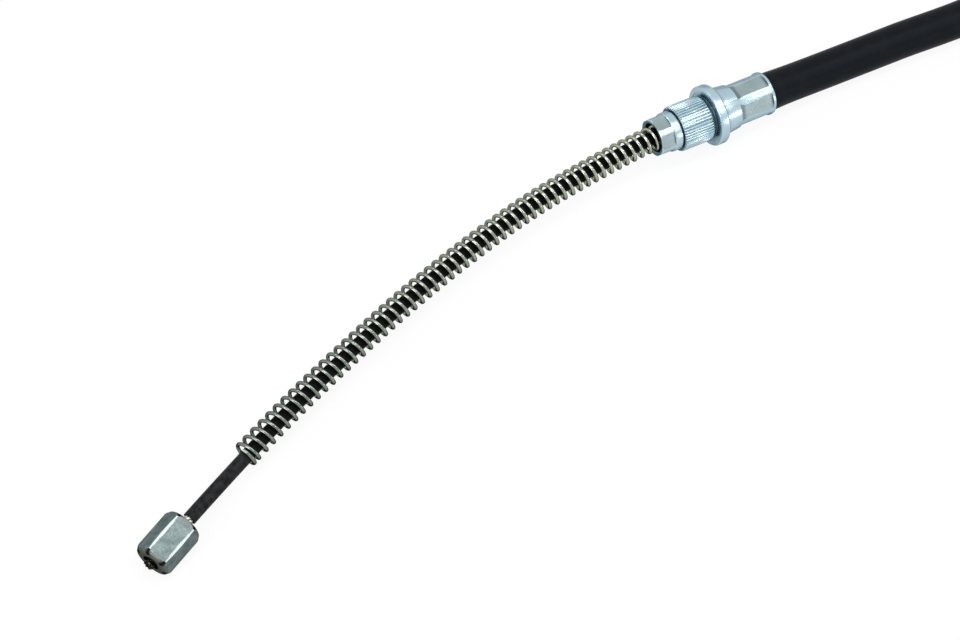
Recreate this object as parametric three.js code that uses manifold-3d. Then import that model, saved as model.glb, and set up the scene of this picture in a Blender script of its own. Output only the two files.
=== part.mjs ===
// Sheathed parking brake cable, lying at rest: end stop, coated inner wire, return spring,
// knurled end fitting, conduit, and the plainly finished lever end. Millimetres, +Z up.
import * as THREE from 'three';
import { mergeVertices } from 'three/addons/utils/BufferGeometryUtils.js';
import Module from 'manifold-3d';

const wasm = await Module();
wasm.setup();

// Route of the inner wire, chosen by hand: wheel-end tip, spring, fitting at the origin,
// one wide turn of the conduit, lever-end tip.
const routePoints = [
  [-189.6, -46.5, 5.4],
  [-178.7, -41.5, 5.5],
  [-159.9, -33.5, 6.2],
  [-140.6, -25.8, 7.1],
  [-120.5, -18.9, 8],
  [-99.9, -12.5, 8.9],
  [-78.6, -7.1, 9.6],
  [-56.7, -3, 10.3],
  [-34.3, -0.9, 10.6],
  [-17, 0, 10.3],
  [0, 0, 8.65],
  [19.4, 0, 6.8],
  [37, -0.6, 5.5],
  [61, -2.2, 5.2],
  [90, -4.3, 5.2],
  [118.5, 0.2, 5.2],
  [138.6, 13.7, 5.2],
  [152.1, 33.8, 5.2],
  [156.8, 57.5, 5.2],
  [152.1, 81.2, 5.2],
  [138.6, 101.3, 5.2],
  [118.5, 114.8, 5.2],
  [94.8, 119.5, 5.3],
  [70, 120, 5.8],
  [46, 120, 6.6],
  [26, 120, 7.4],
  [12, 120, 8.1],
  [-12, 120, 9.1],
  [-34, 120, 9],
  [-58, 120, 7.3],
  [-78, 120, 5.2],
  [-95, 120, 5],
];
const wheelFittingPoint = 10;
const leverFittingPoint = 26;

// Clearances between neighbouring pieces
const slideGap = 0.3;
const seatGap = 0.3;
const layerGap = 0.45;

// Inner wire: steel rope in a plastic coating
const ropeDiameter = 2.6;
const ropeSides = 8;
const ropeSteps = 80;
const tipReach = 1.2;
const coatingGap = 0.2;
const coatingDiameter = 3.6;
const coatingSteps = 76;
const bareLength = 1;

// Crimped stop: turned blank with rounded ends, squeezed between six crowned jaws
const stopLength = 13.3;
const stopDiameter = 10.6;
const stopEndFaceDiameter = 6.8;
const stopShoulderDiameter = 9.2;
const stopShoulderLength = 0.3;
const stopRoundLength = 1.4;
const stopMouthDiameter = 4.2;
const stopMouthDepth = 0.4;
const stopFlatsMiddle = 9.7;
const stopFlatsEnd = 9.2;
const stopTurn = 22;

// Conduit: jacket over a wound steel casing over a liner
const conduitDiameter = 10.2;
const jacketWall = 0.9;
const jacketSqueeze = 0.35;
const jacketSqueezedWall = 0.45;
const jacketOverlap = 2;
const jacketSides = 12;
const windingWall = 0.7;
const linerWall = 0.45;
const linerBore = 4.5;
const conduitSteps = 40;

// Wheel-end fitting, measured along its axis from the flange's front face
const noseFront = -17;
const noseDiameter = 10.8;
const noseFlats = 10;
const noseFlatsLength = 4.2;
const noseEdge = 0.3;
const ringDiameter = 11;
const ringFront = -12.5;
const ringRear = -10.5;
const grooveDiameter = 10.2;
const knurlFront = -10.2;
const knurlRear = -0.8;
const knurlDiameter = 12.8;
const knurlDepth = 0.35;
const knurlTeeth = 48;
const knurlChamfer = 0.6;
const undercutDiameter = 11.2;
const reliefDiameter = 13.8;
const reliefDepth = 0.2;
const flangeDiameter = 16.9;
const flangeThickness = 2.75;
const flangeEdge = 0.3;
const neckDiameter = 13.2;
const neckEnd = 9.6;
const cupDiameter = 12.1;
const cupRear = 19.4;
const rimEdge = 0.4;
const cupFlats = 11.4;
const cupFlatsFront = 8;
const cupFlatsWidth = 3.9;
const cupFlatsRimLeft = 1;
const cupFloor = 5.2;
const springBore = 8.1;
const springSeat = -10.5;
const flatCount = 6;

// Return spring
const springDiameter = 7.15;
const springWire = 1;
const springStart = 37.6;
const springPitchFree = 2.845;
const springPitchSeat = 2.457;
const springClosedPitch = 1.3;
const springClosedTurns = 1;
const springPhase = 90;
const springSideFree = 0.45;
const springSideSeat = -0.15;
const springStepsPerTurn = 8;
const springSides = 5;

// Lever-end fitting, measured from its flange's rear face towards the free end
const leverFlangeDiameter = 16;
const leverFlangeThickness = 3;
const leverBarrelDiameter = 12.6;
const leverBarrelLength = 11;
const leverBarrelEdge = 0.8;
const leverCupDiameter = 12.1;
const leverCupLength = 15;
const leverCupFlats = 11.4;
const leverCupFlatsLength = 9.5;
const leverGrooveStart = 4.6;
const leverGrooveDiameter = 10.4;
const snapRingThickness = 1.2;
const snapRingSection = 1.1;
const snapRingOpening = 50;

const turnedSides = 32;
const holeMargin = 1;

// Closed solids and boolean work

function solidOf(geometry) {
  const bare = geometry.clone();
  bare.deleteAttribute('normal');
  bare.deleteAttribute('uv');
  const merged = mergeVertices(bare, 1e-4);
  const mesh = new wasm.Mesh({
    numProp: 3,
    vertProperties: new Float32Array(merged.attributes.position.array),
    triVerts: new Uint32Array(merged.index.array),
  });
  return new wasm.Manifold(mesh);
}

function geometryOf(solid) {
  const mesh = solid.getMesh();
  const geometry = new THREE.BufferGeometry();
  geometry.setAttribute('position', new THREE.BufferAttribute(mesh.vertProperties, 3));
  geometry.setIndex(new THREE.BufferAttribute(mesh.triVerts, 1));
  geometry.computeVertexNormals();
  return geometry;
}

// A profile of [along, radius] pairs turned about the X axis. The profile closes on the axis.
function turned(profile, sides = turnedSides, turn = 0) {
  const first = profile[0][0];
  const last = profile[profile.length - 1][0];
  const outline = [[first, 0], ...profile, [last, 0]];
  const points = outline.map(([along, radius]) => new THREE.Vector2(radius, along));
  const geometry = new THREE.LatheGeometry(points, sides);
  geometry.rotateY(THREE.MathUtils.degToRad(turn));
  geometry.rotateZ(-Math.PI / 2);
  return solidOf(geometry);
}

function rod(from, to, diameter, sides = turnedSides) {
  return turned([[from, diameter / 2], [to, diameter / 2]], sides);
}

// Six flats across a piece: a six-sided bar about the X axis, one flat facing up.
function sixFlats(profileAcrossFlats) {
  const toCorner = 1 / Math.cos(Math.PI / flatCount);
  const profile = profileAcrossFlats.map(([along, across]) => [along, (across / 2) * toCorner]);
  return turned(profile, flatCount, 180 / flatCount);
}

// Routes

const route = new THREE.CatmullRomCurve3(routePoints.map((p) => new THREE.Vector3(...p)));
route.arcLengthDivisions = 2000;
const routeLength = route.getLength();

class RouteSpan extends THREE.Curve {
  constructor(from, to) {
    super();
    this.from = from;
    this.to = to;
  }

  getPoint(t, target = new THREE.Vector3()) {
    const along = this.from + (this.to - this.from) * t;
    return route.getPointAt(along / routeLength, target);
  }
}

function distanceAtPoint(index) {
  const divisions = route.arcLengthDivisions;
  const step = (index / (routePoints.length - 1)) * divisions;
  const lengths = route.getLengths();
  const low = Math.floor(step);
  const high = Math.min(low + 1, divisions);
  return lengths[low] + (lengths[high] - lengths[low]) * (step - low);
}

const fittingAt = distanceAtPoint(wheelFittingPoint);
const leverFittingAt = distanceAtPoint(leverFittingPoint);

// Axes at a place on the route: X along it, Z upright.
function routeAxes(along, backwards = false) {
  const x = route.getTangentAt(along / routeLength);
  if (backwards) {
    x.negate();
  }
  const y = new THREE.Vector3(0, 0, 1).cross(x).normalize();
  const z = x.clone().cross(y);
  return { x, y, z };
}

function placeOnRoute(mesh, along, backwards = false, turn = 0) {
  const { x, y, z } = routeAxes(along, backwards);
  mesh.position.copy(route.getPointAt(along / routeLength));
  mesh.quaternion.setFromRotationMatrix(new THREE.Matrix4().makeBasis(x, y, z));
  mesh.rotateX(THREE.MathUtils.degToRad(turn));
  return mesh;
}

function circle(diameter) {
  const shape = new THREE.Shape();
  shape.absarc(0, 0, diameter / 2, 0, Math.PI * 2, false);
  return shape;
}

function hole(diameter) {
  const path = new THREE.Path();
  path.absarc(0, 0, diameter / 2, 0, Math.PI * 2, true);
  return path;
}

// A rod or a tube along a curve. Full circles are drawn with twice as many sides as segments.
function along(curve, steps, outside, bore, sides) {
  const shape = circle(outside);
  if (bore > 0) {
    shape.holes.push(hole(bore));
  }
  return new THREE.ExtrudeGeometry(shape, {
    steps,
    extrudePath: curve,
    curveSegments: sides / 2,
    bevelEnabled: false,
  });
}

// Materials

const material = (color, roughness, metalness) => (
  new THREE.MeshStandardMaterial({ color, roughness, metalness })
);

const part = new THREE.Group();

function addMesh(name, geometry, look) {
  const mesh = new THREE.Mesh(geometry, look);
  mesh.name = name;
  part.add(mesh);
  return mesh;
}

// Inner wire and its coating

addMesh(
  'inner_wire',
  along(new RouteSpan(0, routeLength), ropeSteps, ropeDiameter, 0, ropeSides),
  material(0x5a5854, 0.45, 0.9),
);

const coatingStart = tipReach + stopLength + bareLength;
const coatingEnd = routeLength - coatingStart;
const coatingBore = ropeDiameter + 2 * coatingGap;
addMesh(
  'wire_coating',
  along(
    new RouteSpan(coatingStart, coatingEnd), coatingSteps, coatingDiameter, coatingBore, ropeSides,
  ),
  material(0x16181b, 0.6, 0),
);

// Crimped stops, one on each end of the wire

function stopGeometry() {
  const shoulder = stopShoulderDiameter / 2;
  const body = stopDiameter / 2;
  const face = stopEndFaceDiameter / 2;
  const blank = turned([
    [0, face],
    [stopShoulderLength, shoulder],
    [stopRoundLength, body],
    [stopLength - stopRoundLength, body],
    [stopLength - stopShoulderLength, shoulder],
    [stopLength, face],
  ]);
  const jaws = sixFlats([
    [0, stopFlatsEnd],
    [stopLength * 0.25, (stopFlatsEnd + stopFlatsMiddle * 3) / 4],
    [stopLength * 0.5, stopFlatsMiddle],
    [stopLength * 0.75, (stopFlatsEnd + stopFlatsMiddle * 3) / 4],
    [stopLength, stopFlatsEnd],
  ]);
  const passage = ropeDiameter / 2 + slideGap;
  const mouth = stopMouthDiameter / 2;
  const bore = turned([
    [-holeMargin, mouth],
    [0, mouth],
    [stopMouthDepth, passage],
    [stopLength - stopMouthDepth, passage],
    [stopLength, mouth],
    [stopLength + holeMargin, mouth],
  ], ropeSides * 2);
  return geometryOf(blank.intersect(jaws).subtract(bore));
}

const stopLook = () => material(0x8f9b9c, 0.42, 0.85);
placeOnRoute(addMesh('end_stop', stopGeometry(), stopLook()), tipReach, false, stopTurn);
placeOnRoute(
  addMesh('lever_end_stop', stopGeometry(), stopLook()), routeLength - tipReach, true, 0,
);

// Wheel-end fitting: one steel turning with a knurled barrel and two crimped ends

const jacketBore = conduitDiameter - 2 * jacketWall;
const squeezedJacket = conduitDiameter - 2 * jacketSqueeze;
const windingDiameter = jacketBore - 2 * layerGap;
const windingBore = windingDiameter - 2 * windingWall;
const linerDiameter = linerBore + 2 * linerWall;
const linerPassage = linerDiameter + 2 * slideGap;
const cupBore = squeezedJacket + 2 * slideGap;

function knurledBarrel() {
  const root = knurlDiameter / 2 - knurlDepth;
  const tip = knurlDiameter / 2;
  const outline = new THREE.Shape();
  for (let tooth = 0; tooth < knurlTeeth; tooth += 1) {
    [[0, root], [0.25, root], [0.45, tip], [0.8, tip]].forEach(([share, radius], corner) => {
      const angle = ((tooth + share) / knurlTeeth) * Math.PI * 2;
      const x = radius * Math.cos(angle);
      const y = radius * Math.sin(angle);
      if (tooth === 0 && corner === 0) {
        outline.moveTo(x, y);
      } else {
        outline.lineTo(x, y);
      }
    });
  }
  const depth = knurlRear - knurlFront;
  const teeth = new THREE.ExtrudeGeometry(outline, { depth, steps: 1, bevelEnabled: false });
  teeth.rotateY(Math.PI / 2);
  teeth.translate(knurlFront, 0, 0);
  const envelope = turned([
    [knurlFront, tip - knurlChamfer],
    [knurlFront + knurlChamfer, tip],
    [knurlRear - knurlChamfer, tip],
    [knurlRear, tip - knurlChamfer],
  ], knurlTeeth);
  return solidOf(teeth).intersect(envelope);
}

// Six shallow rectangular flats pressed into a cup between two places along it.
function pressFlats(cup, from, to, across, width) {
  let pressed = cup;
  const tool = new THREE.BoxGeometry(to - from, width, across);
  tool.translate((from + to) / 2, 0, across);
  for (let flat = 0; flat < flatCount; flat += 1) {
    const turnedTool = tool.clone().rotateX((flat / flatCount) * Math.PI * 2);
    pressed = pressed.subtract(solidOf(turnedTool));
  }
  return pressed;
}

function wheelFittingGeometry() {
  const nose = turned([
    [noseFront, noseDiameter / 2 - noseEdge],
    [noseFront + noseEdge, noseDiameter / 2],
    [ringFront, noseDiameter / 2],
  ]);
  const noseJaws = sixFlats([
    [noseFront, noseFlats],
    [noseFront + noseFlatsLength, noseFlats],
  ]).add(rod(noseFront + noseFlatsLength, ringFront, noseDiameter));
  const body = turned([
    [ringFront, noseDiameter / 2],
    [ringFront + noseEdge, ringDiameter / 2],
    [ringRear, ringDiameter / 2],
    [ringRear, grooveDiameter / 2],
    [knurlFront, grooveDiameter / 2],
    [knurlFront, undercutDiameter / 2],
    [reliefDepth, undercutDiameter / 2],
    [reliefDepth, reliefDiameter / 2],
    [0, reliefDiameter / 2],
    [0, flangeDiameter / 2 - flangeEdge],
    [flangeEdge, flangeDiameter / 2],
    [flangeThickness - flangeEdge, flangeDiameter / 2],
    [flangeThickness, flangeDiameter / 2 - flangeEdge],
    [flangeThickness, neckDiameter / 2],
    [cupFloor, neckDiameter / 2],
    [neckEnd, cupDiameter / 2],
    [cupRear - rimEdge, cupDiameter / 2],
    [cupRear, cupDiameter / 2 - rimEdge],
  ]);
  const pressed = pressFlats(body, cupFlatsFront, cupRear - cupFlatsRimLeft, cupFlats, cupFlatsWidth);
  const noseBore = rod(noseFront - holeMargin, springSeat, springBore);
  const passage = rod(springSeat - holeMargin, cupFloor + holeMargin, linerPassage);
  const conduitSeat = rod(cupFloor, cupRear + holeMargin, cupBore);
  return geometryOf(
    nose.intersect(noseJaws)
      .add(pressed)
      .add(knurledBarrel())
      .subtract(noseBore)
      .subtract(passage)
      .subtract(conduitSeat),
  );
}

const fittingLook = material(0xb9c8cc, 0.3, 0.9);
placeOnRoute(addMesh('wheel_end_fitting', wheelFittingGeometry(), fittingLook), fittingAt);

// Lever-end fitting and its snap ring, both facing the free end

function leverFittingGeometry() {
  const grooveEnd = leverGrooveStart + snapRingThickness + 2 * seatGap;
  const barrelEnd = leverFlangeThickness + leverBarrelLength;
  const body = turned([
    [-leverCupLength, leverCupDiameter / 2 - rimEdge],
    [-leverCupLength + rimEdge, leverCupDiameter / 2],
    [0, leverCupDiameter / 2],
    [0, leverFlangeDiameter / 2 - flangeEdge],
    [flangeEdge, leverFlangeDiameter / 2],
    [leverFlangeThickness - flangeEdge, leverFlangeDiameter / 2],
    [leverFlangeThickness, leverFlangeDiameter / 2 - flangeEdge],
    [leverFlangeThickness, reliefDiameter / 2],
    [leverFlangeThickness - reliefDepth, reliefDiameter / 2],
    [leverFlangeThickness - reliefDepth, leverBarrelDiameter / 2],
    [leverGrooveStart, leverBarrelDiameter / 2],
    [leverGrooveStart, leverGrooveDiameter / 2],
    [grooveEnd, leverGrooveDiameter / 2],
    [grooveEnd, leverBarrelDiameter / 2],
    [barrelEnd - leverBarrelEdge, leverBarrelDiameter / 2],
    [barrelEnd, leverBarrelDiameter / 2 - leverBarrelEdge],
  ]);
  const flatsStart = -leverCupLength + cupFlatsRimLeft;
  const pressed = pressFlats(
    body, flatsStart, flatsStart + leverCupFlatsLength, leverCupFlats, cupFlatsWidth,
  );
  const passage = rod(-holeMargin, barrelEnd + holeMargin, linerPassage);
  const conduitSeat = rod(-leverCupLength - holeMargin, 0, cupBore);
  return geometryOf(pressed.subtract(passage).subtract(conduitSeat));
}

const leverLook = material(0xb9c8cc, 0.3, 0.9);
placeOnRoute(addMesh('lever_end_fitting', leverFittingGeometry(), leverLook), leverFittingAt);

function snapRingGeometry() {
  const inner = leverGrooveDiameter / 2 + seatGap;
  const outer = inner + snapRingSection;
  const half = THREE.MathUtils.degToRad(snapRingOpening / 2);
  const shape = new THREE.Shape();
  shape.absarc(0, 0, outer, half, Math.PI * 2 - half, false);
  shape.absarc(0, 0, inner, Math.PI * 2 - half, half, true);
  const ring = new THREE.ExtrudeGeometry(shape, {
    depth: snapRingThickness,
    steps: 1,
    curveSegments: turnedSides / 2,
    bevelEnabled: false,
  });
  ring.rotateY(Math.PI / 2);
  ring.translate(leverGrooveStart + seatGap, 0, 0);
  return ring;
}

const ringLook = material(0x4b4d50, 0.4, 0.9);
placeOnRoute(addMesh('lever_snap_ring', snapRingGeometry(), ringLook), leverFittingAt);

// Conduit: all its layers start on the wheel fitting's cup floor and end in the lever fitting's cup

const conduitStart = fittingAt + cupFloor + seatGap;
const conduitEnd = leverFittingAt - seatGap;
const linerStart = fittingAt + springSeat + seatGap;
const linerEnd = leverFittingAt + leverFlangeThickness + leverBarrelLength;
const jacketStart = fittingAt + cupRear + seatGap;
const jacketEnd = leverFittingAt - leverCupLength - seatGap;

// Inside each cup the jacket is squeezed thinner. The two diameters share a short overlap.
function squeezedEnd(from, to) {
  const bore = squeezedJacket - 2 * jacketSqueezedWall;
  return solidOf(along(new RouteSpan(from, to), 2, squeezedJacket, bore, jacketSides));
}

const cover = along(
  new RouteSpan(jacketStart, jacketEnd), conduitSteps, conduitDiameter, jacketBore, jacketSides,
);
addMesh(
  'conduit_jacket',
  geometryOf(
    solidOf(cover)
      .add(squeezedEnd(conduitStart, jacketStart + jacketOverlap))
      .add(squeezedEnd(jacketEnd - jacketOverlap, conduitEnd)),
  ),
  material(0x1b2027, 0.5, 0),
);

addMesh(
  'conduit_winding',
  along(
    new RouteSpan(conduitStart, conduitEnd), conduitSteps, windingDiameter, windingBore, ropeSides,
  ),
  material(0x77797a, 0.4, 0.9),
);

addMesh(
  'conduit_liner',
  along(new RouteSpan(linerStart, linerEnd), conduitSteps, linerDiameter, linerBore, ropeSides),
  material(0xd8d8d2, 0.5, 0),
);

// Return spring: open coils round the wire, a closed coil at each end

const springEnd = fittingAt + springSeat - seatGap - springWire / 2;
const coilRadius = (springDiameter - springWire) / 2;
const closedLength = springClosedPitch * springClosedTurns;
const openLength = springEnd - springStart - 2 * closedLength;
const openTurns = (openLength / (springPitchFree - springPitchSeat))
  * Math.log(springPitchFree / springPitchSeat);
const springTurns = openTurns + 2 * springClosedTurns;

// Distance along the route after a number of turns. The open pitch falls evenly with distance.
function springDistance(turn) {
  if (turn < springClosedTurns) {
    return springStart + turn * springClosedPitch;
  }
  if (turn > springClosedTurns + openTurns) {
    return springEnd - (springTurns - turn) * springClosedPitch;
  }
  const fall = (springPitchFree - springPitchSeat) / openLength;
  const open = (springPitchFree / fall) * (1 - Math.exp(-fall * (turn - springClosedTurns)));
  return springStart + closedLength + open;
}

class SpringCurve extends THREE.Curve {
  getPoint(t, target = new THREE.Vector3()) {
    const turn = springTurns * t;
    const distance = springDistance(turn);
    const { y, z } = routeAxes(distance);
    const left = (springEnd - distance) / (springEnd - springStart);
    const side = springSideSeat + (springSideFree - springSideSeat) * left ** 2;
    const angle = THREE.MathUtils.degToRad(springPhase) + turn * Math.PI * 2;
    route.getPointAt(distance / routeLength, target);
    target.addScaledVector(y, side + coilRadius * Math.cos(angle));
    return target.addScaledVector(z, coilRadius * Math.sin(angle));
  }
}

const springCurve = new SpringCurve();
const springSteps = Math.round(springTurns * springStepsPerTurn);
springCurve.arcLengthDivisions = springSteps * 4;

function wireSection() {
  const shape = new THREE.Shape();
  for (let corner = 0; corner < springSides; corner += 1) {
    const angle = (corner / springSides) * Math.PI * 2;
    const x = (springWire / 2) * Math.cos(angle);
    const y = (springWire / 2) * Math.sin(angle);
    if (corner === 0) {
      shape.moveTo(x, y);
    } else {
      shape.lineTo(x, y);
    }
  }
  return shape;
}

addMesh(
  'return_spring',
  new THREE.ExtrudeGeometry(wireSection(), {
    steps: springSteps,
    extrudePath: springCurve,
    bevelEnabled: false,
  }),
  material(0x8b9187, 0.35, 0.9),
);

// The origin is below the middle of the end fittings, stops, spring and inner wire, on the
// surface that the cable lies on. The conduit's layers aren't counted.
part.updateMatrixWorld(true);
const bounds = new THREE.Box3();
part.children
  .filter((mesh) => !mesh.name.startsWith('conduit_'))
  .forEach((mesh) => bounds.expandByObject(mesh, true));
const middle = bounds.getCenter(new THREE.Vector3());
part.position.set(-middle.x, -middle.y, -bounds.min.z);
part.updateMatrixWorld(true);

export default part;
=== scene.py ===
import math

import bmesh
import bpy
import numpy as np
from mathutils import Matrix, Vector


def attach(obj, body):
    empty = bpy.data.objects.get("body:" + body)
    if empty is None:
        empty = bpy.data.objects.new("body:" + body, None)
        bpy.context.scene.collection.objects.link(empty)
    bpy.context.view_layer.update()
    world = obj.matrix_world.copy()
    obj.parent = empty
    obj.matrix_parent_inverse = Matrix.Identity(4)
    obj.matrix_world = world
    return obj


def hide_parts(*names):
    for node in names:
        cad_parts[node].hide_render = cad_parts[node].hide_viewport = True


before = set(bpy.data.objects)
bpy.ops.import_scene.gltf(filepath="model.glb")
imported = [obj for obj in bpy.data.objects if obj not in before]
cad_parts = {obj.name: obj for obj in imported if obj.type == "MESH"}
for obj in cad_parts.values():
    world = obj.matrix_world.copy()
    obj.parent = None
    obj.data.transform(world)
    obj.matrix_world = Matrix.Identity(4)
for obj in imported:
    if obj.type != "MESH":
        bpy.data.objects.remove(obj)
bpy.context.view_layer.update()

mm = 0.001

# The camera stands well back with a long lens, looking down steeply on the cable from
# behind its free end, so that the wheel-end fitting points down to the lower left.
camera_data = bpy.data.cameras.new("camera")
camera_data.lens = 97.5
camera_data.sensor_width = 36
camera_data.clip_end = 10
camera = bpy.data.objects.new("camera", camera_data)
camera.location = (-0.243717, -0.374068, 0.576096)
camera.rotation_euler = (math.radians(32), 0, math.radians(-29.486))
bpy.context.scene.collection.objects.link(camera)
bpy.context.scene.camera = camera
bpy.context.scene.view_settings.view_transform = "Standard"

# The cable's line: the middle of the inner wire from the tip at the wheel end, through the
# spring and the fitting, round one wide turn of the conduit, to the tip at the lever end.
fitting_place = Vector((0.015784, -0.038968, -0.000004))
route_points = [
    (-0.1896, -0.0465, 0.0054),
    (-0.1787, -0.0415, 0.0055),
    (-0.1599, -0.0335, 0.0062),
    (-0.1406, -0.0258, 0.0071),
    (-0.1205, -0.0189, 0.008),
    (-0.0999, -0.0125, 0.0089),
    (-0.0786, -0.0071, 0.0096),
    (-0.0567, -0.003, 0.0103),
    (-0.0343, -0.0009, 0.0106),
    (-0.017, 0, 0.0103),
    (0, 0, 0.00865),
    (0.0194, 0, 0.0068),
    (0.037, -0.0006, 0.0055),
    (0.061, -0.0022, 0.0052),
    (0.09, -0.0043, 0.0052),
    (0.1185, 0.0002, 0.0052),
    (0.1386, 0.0137, 0.0052),
    (0.1521, 0.0338, 0.0052),
    (0.1568, 0.0575, 0.0052),
    (0.1521, 0.0812, 0.0052),
    (0.1386, 0.1013, 0.0052),
    (0.1185, 0.1148, 0.0052),
    (0.0948, 0.1195, 0.0053),
    (0.07, 0.12, 0.0058),
    (0.046, 0.12, 0.0066),
    (0.026, 0.12, 0.0074),
    (0.012, 0.12, 0.0081),
    (-0.012, 0.12, 0.0091),
    (-0.034, 0.12, 0.009),
    (-0.058, 0.12, 0.0073),
    (-0.078, 0.12, 0.0052),
    (-0.095, 0.12, 0.005),
]
wheel_fitting_point = 10
lever_fitting_point = 26


def span_points(before, start, end, after, samples):
    """Points of one span of a smooth curve that runs through every route point."""
    gaps = [math.sqrt((b - a).length) for a, b in ((before, start), (start, end), (end, after))]
    first, middle, last = gaps
    leave = ((start - before) / first - (end - before) / (first + middle)
             + (end - start) / middle) * middle
    reach = ((end - start) / middle - (after - start) / (middle + last)
             + (after - end) / last) * middle
    points = []
    for step in range(samples):
        t = step / samples
        points.append(
            start + leave * t
            + (-3 * start + 3 * end - 2 * leave - reach) * t ** 2
            + (2 * start - 2 * end + leave + reach) * t ** 3
        )
    return points


class Route:
    """The cable's line, measured along its length from the wheel-end tip."""

    samples = 60

    def __init__(self, points):
        points = [fitting_place + Vector(p) for p in points]
        padded = [2 * points[0] - points[1], *points, 2 * points[-1] - points[-2]]
        line = []
        for index in range(len(points) - 1):
            line += span_points(*padded[index:index + 4], self.samples)
        line.append(points[-1])
        self.line = np.array(line)
        steps = np.linalg.norm(np.diff(self.line, axis=0), axis=1)
        self.along = np.concatenate([[0], np.cumsum(steps)])
        self.length = float(self.along[-1])

    def distance(self, index):
        return float(self.along[index * self.samples])

    def at(self, distance):
        return Vector([float(np.interp(distance, self.along, self.line[:, k])) for k in range(3)])

    def axes(self, distance):
        """Forward, left and up at a place on the route."""
        reach = 0.0002
        low = max(distance - reach, 0)
        high = min(distance + reach, self.length)
        forward = (self.at(high) - self.at(low)).normalized()
        left = Vector((0, 0, 1)).cross(forward).normalized()
        return forward, left, forward.cross(left)

    def place(self, distance, backwards=False, turn=0):
        """The matrix that puts a piece made along +X on the route."""
        forward, left, up = self.axes(distance)
        if backwards:
            forward, left = -forward, -left
        turned = Matrix((forward, left, up)).transposed() @ Matrix.Rotation(turn, 3, "X")
        return Matrix.Translation(self.at(distance)) @ turned.to_4x4()


route = Route(route_points)
fitting_at = route.distance(wheel_fitting_point)
lever_fitting_at = route.distance(lever_fitting_point)

# Conduit: a smooth black plastic jacket extruded over a wound steel casing. The crimped
# cups of the two fittings grip its ends, and it swells a little where it leaves them.
cup_rear = 19.4 * mm
lever_cup_length = 15 * mm
conduit_diameter = 10.2 * mm
conduit_swell = 0.2 * mm
conduit_swell_length = 5 * mm


def new_piece(name, mesh, finish, body="root"):
    """A finished piece in the row frame, smooth but for its real edges, riding on a body."""
    mesh.name = name
    mesh.materials.clear()
    mesh.materials.append(finish)
    mesh.shade_smooth()
    mesh.set_sharp_from_angle(angle=math.radians(38))
    piece = bpy.data.objects.new(name, mesh)
    bpy.context.scene.collection.objects.link(piece)
    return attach(piece, body)


def tube_mesh(distances, radii, sides):
    """A tube along the route. Its UV map runs round the tube and along it, in metres."""
    mesh_data = bmesh.new()
    grain = mesh_data.loops.layers.uv.new("grain")
    sections = []
    for index, distance in enumerate(distances):
        centre = route.at(distance)
        left, up = route.axes(distance)[1:]
        ring = []
        for side in range(sides):
            angle = 2 * math.pi * side / sides
            spoke = left * math.cos(angle) + up * math.sin(angle)
            ring.append(mesh_data.verts.new(centre + spoke * radii[index]))
        sections.append((ring, distance))
    for (ring_a, along_a), (ring_b, along_b) in zip(sections, sections[1:]):
        for side in range(sides):
            after = (side + 1) % sides
            face = mesh_data.faces.new(
                (ring_a[side], ring_a[after], ring_b[after], ring_b[side])
            )
            around = 2 * math.pi * radii[0] / sides
            spots = (
                (side * around, along_a), ((side + 1) * around, along_a),
                ((side + 1) * around, along_b), (side * around, along_b),
            )
            for loop, spot in zip(face.loops, spots):
                loop[grain].uv = spot
    first, last = sections[0][0], sections[-1][0]
    mesh_data.faces.new(list(reversed(first)))
    mesh_data.faces.new(last)
    bmesh.ops.recalc_face_normals(mesh_data, faces=mesh_data.faces)
    mesh = bpy.data.meshes.new("tube")
    mesh_data.to_mesh(mesh)
    mesh_data.free()
    return mesh


class Wire:
    """A shader socket that can be used in sums."""

    def __init__(self, finish, socket):
        self.finish = finish
        self.socket = socket

    def math(self, operation, other):
        return self.finish.node("ShaderNodeMath", {"operation": operation}, {0: self, 1: other})

    def __add__(self, other):
        return self.math("ADD", other)

    __radd__ = __add__

    def __sub__(self, other):
        return self.math("SUBTRACT", other)

    def __mul__(self, other):
        return self.math("MULTIPLY", other)

    __rmul__ = __mul__


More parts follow.
